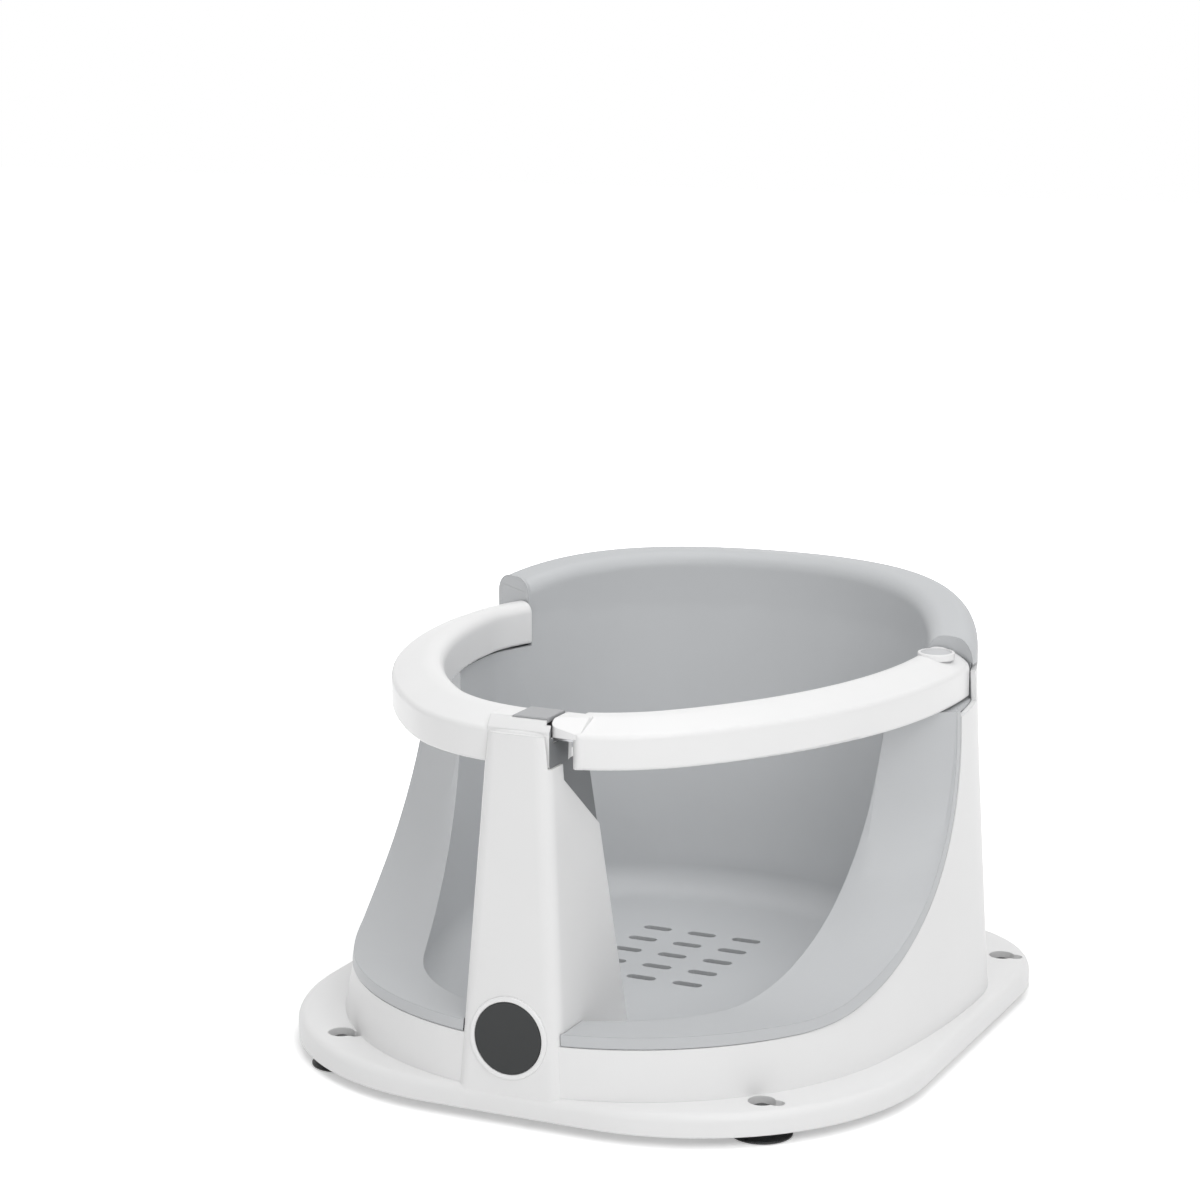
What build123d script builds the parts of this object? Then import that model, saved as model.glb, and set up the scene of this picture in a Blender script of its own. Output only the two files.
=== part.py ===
from build123d import *
from collections import namedtuple
import math
import os

# A baby bath seat: a moulded tub on four suction cups, a post between the legs and a ring at
# chest height, whose right half is a gate on a hinge. Millimetres, +Z up, the front towards -Y.

# Plan outlines: widest at WIDEST_Y, one arc round the front, rounded corners at the rear
Outline = namedtuple("Outline", "half_width side_radius front_y rear_y rear_radius corner_radius")
WIDEST_Y = 47.8
TUB_FOOT = Outline(160.5, 500.0, -179.4, 166.0, 180.0, 72.0)
TUB_HEAD = Outline(150.5, 280.0, -170.0, 181.0, 153.0, 75.0)
PAN_FLOOR = Outline(116.0, 400.0, -156.5, 126.0, 155.0, 60.0)
RING = Outline(147.5, 266.0, -167.8, 178.0, 150.0, 72.0)

# Base flange
FLANGE_FRONT_HALF = 166.0
FLANGE_REAR_HALF = 170.0
FLANGE_FRONT_Y = -178.0
FLANGE_FRONT_BOW = 3.0
FLANGE_REAR_Y = 170.0
FLANGE_FRONT_CORNER = 125.0
FLANGE_REAR_CORNER = 77.0
FLANGE_BOTTOM = 4.7
FLANGE_TOP = 16.0
FLANGE_EDGE = 4.5
DRAIN_INSET = 50.0
DRAIN_LENGTH = 16.0
DRAIN_WIDTH = 6.0
DRAIN_PITCH_X = 26.0
DRAIN_PITCH_Y = 20.0
DRAIN_Y = 15.0
RIB_THICKNESS = 2.0
RIB_DROP = 6.5
RIB_PITCH = 54.0

# Walls and fits
WALL = 2.6
FIT = 0.3
SEAM = 0.5

# Heights of the tub
HEAD_Z = 190.0
PAN_Z = 26.0
PAN_CORNER = 18.0
DECK_Z = 171.4

# Leg openings: a quarter ellipse seen from the side
LEG_CENTRE_Y = -113.0
LEG_CENTRE_Z = 173.0
LEG_REACH_Y = 146.0
LEG_DEPTH_Z = 132.0
LIP_REACH_Y = 117.0
LIP_DEPTH_Z = 126.0
LIP_X = 118.0
JAMB_X = 150.0
LEG_BEAD = 5.0

# Step in the tub wall under the rear ends of the arms
NOTCH_FRONT_Y = 34.0
NOTCH_LOW_Z = 168.0
NOTCH_STEP_Y = 57.0
NOTCH_REAR_Z = 170.8
NOTCH_HIGH_Z = 186.2
NOTCH_END_Y = 71.5

# Rolled rim round the backrest
RIM_WIDTH = 26.0
RIM_SKIN = 3.0
RIM_FRONT_Z = 194.0
RIM_MID_Z = 212.0
RIM_MID_Y = 105.0
RIM_REAR_Z = 217.0
RIM_ROLL = 9.0

# Post between the legs
POST_TOP_HALF = 16.5
POST_TOP_Z = 188.5
POST_FLARE = 0.0664
POST_REAR_TOP_Y = -123.5
POST_REAR_LEAN = 0.171
POST_CORNER = 7.0
POST_PROUD = 0.5
POST_REAR_CORNER = 3.0
POCKET_DEPTH = 2.2
POCKET_FRONT_Y = -154.5
POCKET_LOW_Z = 165.0
POCKET_REAR_Z = 131.0

# Ring arms: one section, run along the ring outline
ARM_BOTTOM = 172.6
ARM_WIDTH = 27.0
ARM_FACE = 16.5
ARM_HEIGHT = 23.0
ARM_CREST = 17.0
ARM_WALL = 2.4
ARM_STRIP = 2.4
ARM_ROUNDS = (2.0, 3.5, 14.0, 6.5, 2.0)
STRIP_GAP = 0.15
GATE_END_X = 25.0
ARM_END_X = 16.2
HEAD_HALF = 16.2
HEAD_STEP = 1.6
HEAD_FRONT_Z = 190.0

# Hinge
PIVOT_INSET = 15.5
PIVOT_END_RADIUS = 17.2
SOCKET_GAP = 1.4
PIN_RADIUS = 3.0
PIN_HEAD_RADIUS = 5.0
PIN_HEAD_HEIGHT = 2.0
PIN_DEPTH = 32.0
PIN_TAIL = 2.0
BUSH_WALL = 1.5
BUSH_CLEARANCE = 0.06
WASHER_RADIUS = 7.5
WASHER_HEIGHT = 0.9
CAP_RADIUS = 8.0
CAP_DOME = 1.9
CAP_WALL = 1.6
CAP_HOLLOW = 4.0
LIP_RING = 1.5
LIP_RING_HEIGHT = 1.1
BOSS_WALL = 3.4
CLIP_RADIUS = 5.0
CLIP_HEIGHT = 1.0
BOLT_RADIUS = 2.6
BOLT_HEAD_RADIUS = 4.6
BOLT_HEAD_HEIGHT = 3.0
BOLT_LENGTH = 44.0

# Latch
BUTTON_LEFT_X = -4.5
BUTTON_LENGTH = 18.0
BUTTON_FRONT_INSET = 5.0
BUTTON_DEPTH = 19.0
BUTTON_THICKNESS = 2.4
BUTTON_TRAVEL = 4.0
BUTTON_STEM_RADIUS = 4.4
LUG = 2.0
STEM_TIP_RADIUS = 2.1
SPRING_WIRE = 0.7
SPRING_MEAN_RADIUS = 3.1
SPRING_TURNS = 5
SPRING_LENGTH = 9.0
GUIDE_WALL = 1.5
GUIDE_FLOOR = 1.2
GUIDE_HEIGHT = 5.4
BUTTON_PROUD = 0.4
BUTTON_EDGE = 0.6
NOSE_TIP_X = 14.9
NOSE_Z = 187.0
NOSE_INSET = 5.0
NOSE_DEPTH = 18.0
NOSE_ROUND = 3.0
NOSE_EDGE = 1.0
GATE_CORNER = 5.0
CATCH_Z = 184.6
CATCH_THICKNESS = 2.0
CATCH_WIDTH = 8.0
CATCH_TIP_X = 11.4
CATCH_TAIL_X = 34.0
CATCH_SWING = 4.0
END_BLOCK = 12.0

# Round disc at the foot of the post
DISC_Z = 42.5
DISC_RADIUS = 17.6
DISC_THICKNESS = 2.0
BEZEL_WIDTH = 2.6
BEZEL_THICKNESS = 3.2
BEZEL_PROUD = 1.0

# Suction cups and their keyholes
CUP_FRONT_IN_X = 52.5
CUP_FRONT_IN_Y = 39.0
CUP_REAR_IN_X = 21.0
CUP_REAR_IN_Y = 51.0
CUP_RADIUS = 15.0
CUP_LIP = 0.8
CUP_RIM = 1.2
CUP_HEIGHT = 5.4
CUP_NECK_RADIUS = 3.0
CUP_HEAD_RADIUS = 5.6
CUP_WEB = 2.4
KEY_RADIUS = 6.6
KEY_SLOT_RADIUS = 3.5
KEY_LENGTH = 8.0
CUP_BOSS_WALL = 2.4

# Fasteners
SCREW_RADIUS = 1.5
SCREW_HEAD_RADIUS = 3.0
SCREW_HEAD_HEIGHT = 1.8
SCREW_LENGTH = 10.0
SCREW_BOSS_RADIUS = 4.2
SCREW_SINK = 1.4
COVER_GAP = 0.2
COVER_LOW_Z = 32.0
LINER_SCREW_X = 72.0
LINER_SCREW_Y = (-62.0, 74.0)
POST_SCREW_Z = (58.0, 104.0, 150.0)
ARM_SCREW_ANGLES = (-60.0, -30.0, -10.0)

FAR = 400.0


def inset(outline, amount):
    """The outline drawn parallel, further in by amount."""
    return Outline(outline.half_width - amount, outline.side_radius - amount,
                   outline.front_y + amount, outline.rear_y - amount,
                   outline.rear_radius - amount, outline.corner_radius - amount)


def front_radius(outline):
    """Radius of the arc that closes the front, tangent to both side arcs."""
    reach = WIDEST_Y - outline.front_y
    top = 2 * outline.half_width * outline.side_radius - outline.half_width ** 2 - reach ** 2
    return top / (2 * (outline.side_radius - reach))


def corner_centre(outline):
    """Centre of the right rear corner arc, which touches the side arc and the rear arc."""
    side_x = outline.half_width - outline.side_radius
    rear_y = outline.rear_y - outline.rear_radius
    from_side = outline.side_radius - outline.corner_radius
    from_rear = outline.rear_radius - outline.corner_radius
    run = math.hypot(side_x, rear_y - WIDEST_Y)
    along = (from_side ** 2 - from_rear ** 2 + run ** 2) / (2 * run)
    aside = math.sqrt(from_side ** 2 - along ** 2)
    unit_x, unit_y = -side_x / run, (rear_y - WIDEST_Y) / run
    return side_x + along * unit_x - aside * unit_y, WIDEST_Y + along * unit_y + aside * unit_x


def right_arcs(outline):
    """The arcs of the right half from front to rear, each as (centre, radius, start, end angle)."""
    side = (outline.half_width - outline.side_radius, WIDEST_Y)
    round_front = front_radius(outline)
    front = (0.0, outline.front_y + round_front)
    corner = corner_centre(outline)
    rear = (0.0, outline.rear_y - outline.rear_radius)
    bend = heading(side, front)
    turn = heading(side, corner)
    close = heading(rear, corner)
    return [(front, round_front, -90.0, bend), (side, outline.side_radius, bend, turn),
            (corner, outline.corner_radius, turn, close), (rear, outline.rear_radius, close, 90.0)]


def heading(start, end):
    return math.degrees(math.atan2(end[1] - start[1], end[0] - start[0]))


def polar(centre, radius, angle):
    return (centre[0] + radius * math.cos(math.radians(angle)),
            centre[1] + radius * math.sin(math.radians(angle)))


def outline_wire(outline, z):
    front, side, corner, rear = right_arcs(outline)
    whole_front = (front[0], front[1], -180.0 - front[3], front[3])
    whole_rear = (rear[0], rear[1], rear[2], 180.0 - rear[2])
    arcs = []
    for centre, radius, start, end in (whole_front, side, corner, whole_rear):
        points = [polar(centre, radius, angle) for angle in (start, (start + end) / 2, end)]
        arcs.append(ThreePointArc(*[(x, y, z) for x, y in points]))
    for centre, radius, start, end in (corner, side):
        points = [polar(centre, radius, angle) for angle in (end, (start + end) / 2, start)]
        arcs.append(ThreePointArc(*[(-x, y, z) for x, y in points]))
    return Wire(arcs)


def outline_loft(low, low_z, high, high_z):
    return Part() + Solid.make_loft([outline_wire(low, low_z), outline_wire(high, high_z)], True)


def outline_prism(outline, low_z, high_z):
    return extrude(Face(outline_wire(outline, low_z)), amount=high_z - low_z, dir=(0, 0, 1))


def blend(low, high, share):
    """The outline at a share of the way from low to high."""
    return Outline(*[a + (b - a) * share for a, b in zip(low, high)])


def tub_outline(z):
    return blend(TUB_FOOT, TUB_HEAD, (z - FLOOR_Z) / (HEAD_Z - FLOOR_Z))


def tub_solid(amount, low_z, high_z):
    """The tub's outer shape, inset by amount, between two heights."""
    low = inset(tub_outline(low_z), amount)
    high = inset(tub_outline(high_z), amount)
    return outline_loft(low, low_z, high, high_z)


def cylinder(radius, low_z, high_z, x=0.0, y=0.0):
    return Pos(x, y, (low_z + high_z) / 2) * Cylinder(radius, high_z - low_z)


def box(low, high):
    size = [b - a for a, b in zip(low, high)]
    return Pos(*[(a + b) / 2 for a, b in zip(low, high)]) * Box(*size)


def side_prism(points, low_x=-FAR, high_x=FAR):
    """A polygon of (y, z) points pushed along X."""
    face = make_face(Polyline(*[(low_x, y, z) for y, z in points], close=True))
    return extrude(face, amount=high_x - low_x, dir=(1, 0, 0))


def both_sides(shape):
    return shape + mirror(shape, about=Plane.YZ)


# Heights and places that follow from the sizes above
FLOOR_Z = FLANGE_TOP - WALL
LINER_INSET = WALL + FIT
ARM_TOP = ARM_BOTTOM + ARM_HEIGHT
PIVOT_X = RING.half_width - PIVOT_INSET
PIVOT_Y = WIDEST_Y
RIM_INNER = inset(TUB_HEAD, RIM_WIDTH)
SOCKET_RADIUS = PIVOT_END_RADIUS + SOCKET_GAP
BUTTON_FRONT_Y = RING.front_y + BUTTON_FRONT_INSET
BUTTON_MID_X = BUTTON_LEFT_X + BUTTON_LENGTH / 2
BUTTON_MID_Y = BUTTON_FRONT_Y + BUTTON_DEPTH / 2
CUP_FRONT_X = FLANGE_FRONT_HALF - CUP_FRONT_IN_X
CUP_FRONT_Y = FLANGE_FRONT_Y + CUP_FRONT_IN_Y
CUP_REAR_X = FLANGE_REAR_HALF - CUP_REAR_IN_X
CUP_REAR_Y = FLANGE_REAR_Y - CUP_REAR_IN_Y
CUP_PLACES = {
    "front_right": (CUP_FRONT_X, CUP_FRONT_Y),
    "front_left": (-CUP_FRONT_X, CUP_FRONT_Y),
    "rear_right": (CUP_REAR_X, CUP_REAR_Y),
    "rear_left": (-CUP_REAR_X, CUP_REAR_Y),
}
CUP_WEB_Z = CUP_HEIGHT + 1.6
TUBE_RADIUS = PIN_RADIUS + BUSH_CLEARANCE + BUSH_WALL + ARM_WALL
PIN_HEAD_Z = 189.5
CAP_LOW_Z = PIN_HEAD_Z - FIT
BUTTON_RIGHT_X = BUTTON_LEFT_X + BUTTON_LENGTH
STEM_STEP_Z = ARM_BOTTOM + ARM_STRIP + GUIDE_FLOOR + SPRING_LENGTH
STEM_TIP_Z = ARM_BOTTOM + ARM_STRIP + GUIDE_FLOOR + BUTTON_TRAVEL + FIT


def flange_face(z):
    """The rounded outline of the base, with a slightly bowed front edge."""
    front_left = (-FLANGE_FRONT_HALF, FLANGE_FRONT_Y, z)
    front_right = (FLANGE_FRONT_HALF, FLANGE_FRONT_Y, z)
    rear_right = (FLANGE_REAR_HALF, FLANGE_REAR_Y, z)
    rear_left = (-FLANGE_REAR_HALF, FLANGE_REAR_Y, z)
    front = ThreePointArc(front_left, (0, FLANGE_FRONT_Y - FLANGE_FRONT_BOW, z), front_right)
    rest = Polyline(front_right, rear_right, rear_left, front_left)
    face = make_face(front + rest)
    front_corners = face.vertices().filter_by(lambda v: v.Y < 0)
    face = fillet(front_corners, FLANGE_FRONT_CORNER)
    rear_corners = face.vertices().filter_by(lambda v: v.Y > FLANGE_REAR_Y - 1)
    return fillet(rear_corners, FLANGE_REAR_CORNER)


def flange_solid(amount, low_z, high_z):
    face = flange_face(low_z)
    if amount:
        face = offset(face, -amount)
    return extrude(face, amount=high_z - low_z, dir=(0, 0, 1))


def keyhole(low_z, high_z, x, y):
    slot_x = x + KEY_LENGTH
    neck = box((x, y - KEY_SLOT_RADIUS, low_z), (slot_x, y + KEY_SLOT_RADIUS, high_z))
    return (cylinder(KEY_RADIUS, low_z, high_z, x, y) + neck
            + cylinder(KEY_SLOT_RADIUS, low_z, high_z, slot_x, y))


def leg_face(x, reach, depth):
    """The leg opening seen from the side, open towards the front and the top."""
    low = LEG_CENTRE_Z - depth
    curve = EllipticalCenterArc((LEG_CENTRE_Y, LEG_CENTRE_Z), reach, depth, -90, arc_size=90)
    corners = [(LEG_CENTRE_Y + reach, LEG_CENTRE_Z), (LEG_CENTRE_Y + reach, FAR), (-FAR, FAR),
               (-FAR, low), (LEG_CENTRE_Y, low)]
    face = make_face(curve + Polyline(*corners))
    return Plane(origin=(x, 0, 0), x_dir=(0, 1, 0), z_dir=(1, 0, 0)) * face


def leg_cut(reach, depth):
    return extrude(leg_face(-FAR, reach, depth), amount=2 * FAR, dir=(1, 0, 0))


def jamb_cut(grow):
    """The slanted reveal of both leg openings, from the lip inside to the tub wall."""
    lip = leg_face(LIP_X, LIP_REACH_Y + grow, LIP_DEPTH_Z + grow)
    edge = leg_face(JAMB_X, LEG_REACH_Y - LEG_BEAD + grow, LEG_DEPTH_Z - LEG_BEAD + grow)
    slope = Part() + Solid.make_loft([lip.wire(), edge.wire()], True)
    beyond = extrude(edge, amount=FAR - JAMB_X, dir=(1, 0, 0))
    middle = extrude(leg_face(-LIP_X, LIP_REACH_Y + grow, LIP_DEPTH_Z + grow),
                     amount=2 * LIP_X, dir=(1, 0, 0))
    return middle + both_sides(slope + beyond)


def leg_bead():
    """The edge of the reveals, which fills the tub wall's openings and lies flush with the wall."""
    rind = tub_solid(SEAM, FLANGE_TOP, DECK_Z) - tub_solid(LINER_INSET + WALL, FLANGE_TOP, DECK_Z)
    return rind & leg_cut(LEG_REACH_Y - FIT, LEG_DEPTH_Z - FIT)


def post_half(z):
    return POST_TOP_HALF + (POST_TOP_Z - z) * POST_FLARE


def post_front_y(z):
    return tub_outline(z).front_y - POST_PROUD


def post_rear_y(z):
    return POST_REAR_TOP_Y + (ARM_BOTTOM - z) * POST_REAR_LEAN


def post_wire(z, amount, rear_amount):
    half = post_half(z) - amount
    front = post_front_y(z) + amount
    rear = post_rear_y(z) - rear_amount
    face = make_face(Polyline((-half, front, z), (half, front, z), (half, rear, z),
                              (-half, rear, z), close=True))
    front_round = max(POST_CORNER - amount, 0.5)
    rear_round = max(POST_REAR_CORNER - amount, 0.5)
    face = fillet(face.vertices().sort_by(Axis.Y)[:2], front_round)
    face = fillet(face.vertices().sort_by(Axis.Y)[-2:], rear_round)
    return face.wire()


def post_solid(amount, rear_amount, low_z, high_z):
    wires = [post_wire(low_z, amount, rear_amount), post_wire(high_z, amount, rear_amount)]
    return Part() + Solid.make_loft(wires, True)


def post_head_cut():
    """What the arms' end takes out of the top of the post, behind its front skin."""
    return box((-FAR, RING.front_y - FIT, ARM_BOTTOM), (FAR, FAR, FAR))


def screw():
    """A pan head screw: the head's underside is at the origin and the shank runs up."""
    head = Pos(0, 0, -SCREW_HEAD_HEIGHT / 2) * Cylinder(SCREW_HEAD_RADIUS, SCREW_HEAD_HEIGHT)
    head = fillet(head.edges().group_by(Axis.Z)[0], SCREW_HEAD_HEIGHT * 0.4)
    shank = Pos(0, 0, SCREW_LENGTH / 2) * Cylinder(SCREW_RADIUS, SCREW_LENGTH)
    slot = Pos(0, 0, -SCREW_HEAD_HEIGHT) * (Box(SCREW_HEAD_RADIUS * 1.2, 0.7, 1.2)
                                            + Box(0.7, SCREW_HEAD_RADIUS * 1.2, 1.2))
    return head + shank - slot


def base_shell():
    """Flange, tub wall and post in one white moulding, with its ribs and cup bosses beneath."""
    flange = flange_solid(0, FLANGE_BOTTOM, FLANGE_TOP)
    flange = fillet(flange.faces().sort_by(Axis.Z)[-1].edges(), FLANGE_EDGE)
    flange -= flange_solid(WALL, FLANGE_BOTTOM, FLOOR_Z)
    inside = flange_solid(WALL / 2, FLANGE_BOTTOM, FLANGE_TOP)
    drain = outline_prism(inset(PAN_FLOOR, DRAIN_INSET), 0, FLANGE_TOP + 1)
    for x, y in CUP_PLACES.values():
        boss = cylinder(KEY_RADIUS + CUP_BOSS_WALL, CUP_WEB_Z, FLOOR_Z + 1, x, y)
        boss += cylinder(KEY_SLOT_RADIUS + CUP_BOSS_WALL, CUP_WEB_Z, FLOOR_Z + 1, x + KEY_LENGTH, y)
        flange += boss & inside
        flange -= keyhole(CUP_WEB_Z + CUP_WEB, FLANGE_TOP + 1, x, y)
        flange -= cylinder(CUP_NECK_RADIUS, 0, FLANGE_TOP, x, y)
    flange -= drain
    flange += base_ribs(inside)
    wall = tub_solid(0, FLOOR_Z, HEAD_Z) - tub_solid(WALL, FLOOR_Z, HEAD_Z)
    wall -= leg_cut(LEG_REACH_Y, LEG_DEPTH_Z)
    wall -= gate_notch()
    post = post_solid(0, 0, FLOOR_Z, POST_TOP_Z)
    post -= post_solid(WALL, -1, FLOOR_Z - 1, ARM_BOTTOM - WALL)
    post -= post_head_cut()
    shell = flange + wall
    shell -= post_solid(WALL, 0, FLANGE_TOP + 0.01, FLANGE_TOP + 60)
    shell += post
    for z in POST_SCREW_Z:
        shell += post_screw_boss(z)
    shell -= pocket()
    shell -= disc_recess()
    for y in LINER_SCREW_Y:
        shell -= both_sides(cylinder(SCREW_RADIUS, 0, FLANGE_TOP + 1, LINER_SCREW_X, y))
    return shell


def base_ribs(inside):
    """A grid of ribs under the flange plate, which crosses the drain opening."""
    low = FLOOR_Z - RIB_DROP
    count = int(FLANGE_REAR_Y / RIB_PITCH)
    ribs = Part()
    for step in range(-count, count + 1):
        place = step * RIB_PITCH
        ribs += box((-FAR, place - RIB_THICKNESS / 2, low), (FAR, place + RIB_THICKNESS / 2, FLOOR_Z + 1))
        ribs += box((place - RIB_THICKNESS / 2, -FAR, low), (place + RIB_THICKNESS / 2, FAR, FLOOR_Z + 1))
    ribs = ribs & inside
    for x, y in CUP_PLACES.values():
        ribs -= cylinder(CUP_RADIUS + WALL, 0, FLOOR_Z + 2, x, y)
    return ribs


def gate_notch():
    """The step in the tub wall that lets the arms' rear ends rest on the column and swing."""
    front_y = LEG_CENTRE_Y
    return side_prism([(front_y, NOTCH_LOW_Z), (NOTCH_FRONT_Y, NOTCH_LOW_Z), (NOTCH_STEP_Y, NOTCH_REAR_Z),
                       (NOTCH_STEP_Y, NOTCH_HIGH_Z), (NOTCH_END_Y, HEAD_Z), (NOTCH_END_Y, FAR), (front_y, FAR)])


def post_screw_place(z):
    """Where a screw meets the leaning rear face of the post, and which way it points."""
    return Plane(origin=(0, post_rear_y(z), z), x_dir=(1, 0, 0), z_dir=(0, -1, -POST_REAR_LEAN))


def post_screw_boss(z):
    depth = post_rear_y(z) - post_front_y(z) - WALL
    boss = Pos(0, 0, WALL + depth / 2) * Cylinder(SCREW_BOSS_RADIUS, depth)
    boss -= Pos(0, 0, SCREW_LENGTH / 2) * Cylinder(SCREW_RADIUS, SCREW_LENGTH + 1)
    return (post_screw_place(z) * boss) & post_solid(WALL / 2, 0, FLOOR_Z, ARM_BOTTOM)


def pocket():
    """The shallow recess in the post's right side, where the free end of the gate comes to rest."""
    outline = side_prism([(POCKET_FRONT_Y, FAR), (POCKET_FRONT_Y, POCKET_LOW_Z),
                          (post_rear_y(POCKET_REAR_Z) + 2, POCKET_REAR_Z), (0, POCKET_REAR_Z), (0, FAR)],
                         0, FAR)
    kept = post_solid(POCKET_DEPTH, -20, FLOOR_Z, POST_TOP_Z + 5)
    return outline - kept


def disc_plane():
    """The plane on which the round disc lies, on the leaning front of the post."""
    lean = (post_front_y(HEAD_Z) - post_front_y(FLOOR_Z)) / (HEAD_Z - FLOOR_Z)
    return Plane(origin=(0, post_front_y(DISC_Z), DISC_Z), x_dir=(1, 0, 0), z_dir=(0, -1, lean))


def disc_recess():
    depth = BEZEL_THICKNESS - BEZEL_PROUD
    return disc_plane() * Pos(0, 0, 20 - depth) * Cylinder(DISC_RADIUS + BEZEL_WIDTH, 40)


def front_disc_bezel():
    ring = Cylinder(DISC_RADIUS + BEZEL_WIDTH, BEZEL_THICKNESS, align=(Align.CENTER, Align.CENTER, Align.MIN))
    ring -= Pos(0, 0, BEZEL_THICKNESS - DISC_THICKNESS) * Cylinder(
        DISC_RADIUS, BEZEL_THICKNESS, align=(Align.CENTER, Align.CENTER, Align.MIN))
    ring = fillet(ring.edges().group_by(Axis.Z)[-1], 0.7)
    return disc_plane() * Pos(0, 0, BEZEL_PROUD - BEZEL_THICKNESS) * ring


def front_disc():
    disc = Cylinder(DISC_RADIUS, DISC_THICKNESS, align=(Align.CENTER, Align.CENTER, Align.MIN))
    disc = fillet(disc.edges().group_by(Axis.Z)[-1], 0.6)
    return disc_plane() * Pos(0, 0, BEZEL_PROUD - DISC_THICKNESS) * disc


def rim_profile(drop):
    """The rim seen from the side: a crest that climbs to the back, lowered by drop."""
    front = (0, PIVOT_Y, RIM_FRONT_Z - drop)
    rear = (0, TUB_HEAD.rear_y, RIM_REAR_Z - drop)
    crest = ThreePointArc(front, (0, RIM_MID_Y, RIM_MID_Z - drop), rear)
    face = make_face(crest + Polyline(rear, (0, TUB_HEAD.rear_y, 0), (0, PIVOT_Y, 0), front))
    return extrude(face, amount=FAR, dir=(1, 0, 0), both=True)


def rim():
    """The rolled rim: a rounded band with a channel beneath."""
    band = outline_prism(TUB_HEAD, HEAD_Z, FAR) - outline_prism(RIM_INNER, HEAD_Z - 1, FAR + 1)
    band = band & rim_profile(0)
    crest = band.faces().sort_by(Axis.Z)[-1]
    along = crest.edges().filter_by(lambda edge: edge.center().Y > PIVOT_Y + 1)
    band = fillet(along, RIM_ROLL)
    channel = outline_prism(inset(TUB_HEAD, RIM_SKIN), HEAD_Z - 1, FAR)
    channel -= outline_prism(inset(RIM_INNER, -WALL), HEAD_Z - 2, FAR + 1)
    channel = channel & rim_profile(RIM_ROLL * 0.3 + RIM_SKIN)
    channel = channel & box((-FAR, PIVOT_Y + SOCKET_RADIUS + WALL + 8, 0), (FAR, FAR, FAR))
    return band - channel


def cavity(grow):
    """The hollow of the seat: from the pan floor up to the inner edge of the rim."""
    low = inset(PAN_FLOOR, -grow)
    high = inset(RIM_INNER, -grow)
    corner_z = PAN_Z + PAN_CORNER
    pan = outline_prism(low, PAN_Z - grow, corner_z)
    pan = fillet(pan.faces().sort_by(Axis.Z)[0].edges(), PAN_CORNER + grow - 0.5)
    return pan + outline_loft(low, corner_z, high, HEAD_Z) + outline_prism(high, HEAD_Z, FAR)


def seat_liner():
    """Pan, backrest, the slanted reveals of the leg openings and the rolled rim, in light grey."""
    limit = tub_solid(LINER_INSET, FLANGE_TOP, HEAD_Z)
    skin = (cavity(WALL) + jamb_cut(WALL)) & limit
    deck = box((-FAR, LEG_CENTRE_Y, DECK_Z - WALL), (FAR, PIVOT_Y + SOCKET_RADIUS + WALL, DECK_Z)) & limit
    socket_wall = both_sides(cylinder(SOCKET_RADIUS + WALL, DECK_Z - WALL, HEAD_Z, PIVOT_X, PIVOT_Y)) & limit
    liner = skin + leg_bead() + deck + socket_wall + rim()
    for y in LINER_SCREW_Y:
        liner += both_sides(cylinder(SCREW_BOSS_RADIUS, FLANGE_TOP, PAN_Z - WALL / 2, LINER_SCREW_X, y))
    boss = cylinder(PIN_RADIUS + BOSS_WALL, DECK_Z - PIN_DEPTH, DECK_Z, PIVOT_X, PIVOT_Y)
    web = box((PIVOT_X - 12, PIVOT_Y - WALL / 2, DECK_Z - PIN_DEPTH), (PIVOT_X, PIVOT_Y + WALL / 2, DECK_Z))
    liner += both_sides(boss + web)
    liner -= cavity(0)
    liner -= jamb_cut(0)
    liner -= both_sides(cylinder(SOCKET_RADIUS, DECK_Z, FAR, PIVOT_X, PIVOT_Y))
    liner -= box((-FAR, -FAR, DECK_Z), (FAR, PIVOT_Y, FAR))
    liner -= cylinder(PIN_RADIUS, 0, FAR, PIVOT_X, PIVOT_Y)
    liner -= cylinder(BOLT_RADIUS, 0, FAR, -PIVOT_X, PIVOT_Y)
    liner -= post_solid(-SEAM, -SEAM, FLANGE_TOP - 1, ARM_BOTTOM)
    for y in LINER_SCREW_Y:
        liner -= both_sides(cylinder(SCREW_RADIUS, 0, PAN_Z - WALL / 2, LINER_SCREW_X, y))
    liner -= drain_holes()
    return liner


def drain_holes():
    """Slots in the pan floor that let the water out."""
    holes = Part()
    for row in range(-2, 3):
        for column in range(-1, 2):
            place = Pos(column * DRAIN_PITCH_X, DRAIN_Y + row * DRAIN_PITCH_Y, PAN_Z)
            slot = SlotOverall(DRAIN_LENGTH, DRAIN_WIDTH)
            holes += place * extrude(slot, amount=2 * WALL, both=True)
    return holes


def arm_face(amount, low):
    """The arm's section: inward from the outer face, and up from the underside."""
    slope = (ARM_HEIGHT - ARM_FACE) / ARM_CREST
    drop = amount * math.hypot(1, slope)
    top = ARM_HEIGHT - amount
    points = [(amount, low), (amount, ARM_FACE + slope * amount - drop),
              ((top + drop - ARM_FACE) / slope, top), (ARM_WIDTH - amount, top), (ARM_WIDTH - amount, low)]
    face = make_face(Polyline(*points, close=True))
    for (x, y), radius in zip(points, ARM_ROUNDS):
        corner = face.vertices().sort_by_distance((x, y, 0))[0]
        face = fillet(corner, max(radius - amount, 0.4))
    return face


def strip_face():
    low = ARM_WALL + STRIP_GAP
    return Pos((ARM_WIDTH) / 2, ARM_STRIP / 2) * Rectangle(ARM_WIDTH - 2 * low, ARM_STRIP)


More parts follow.
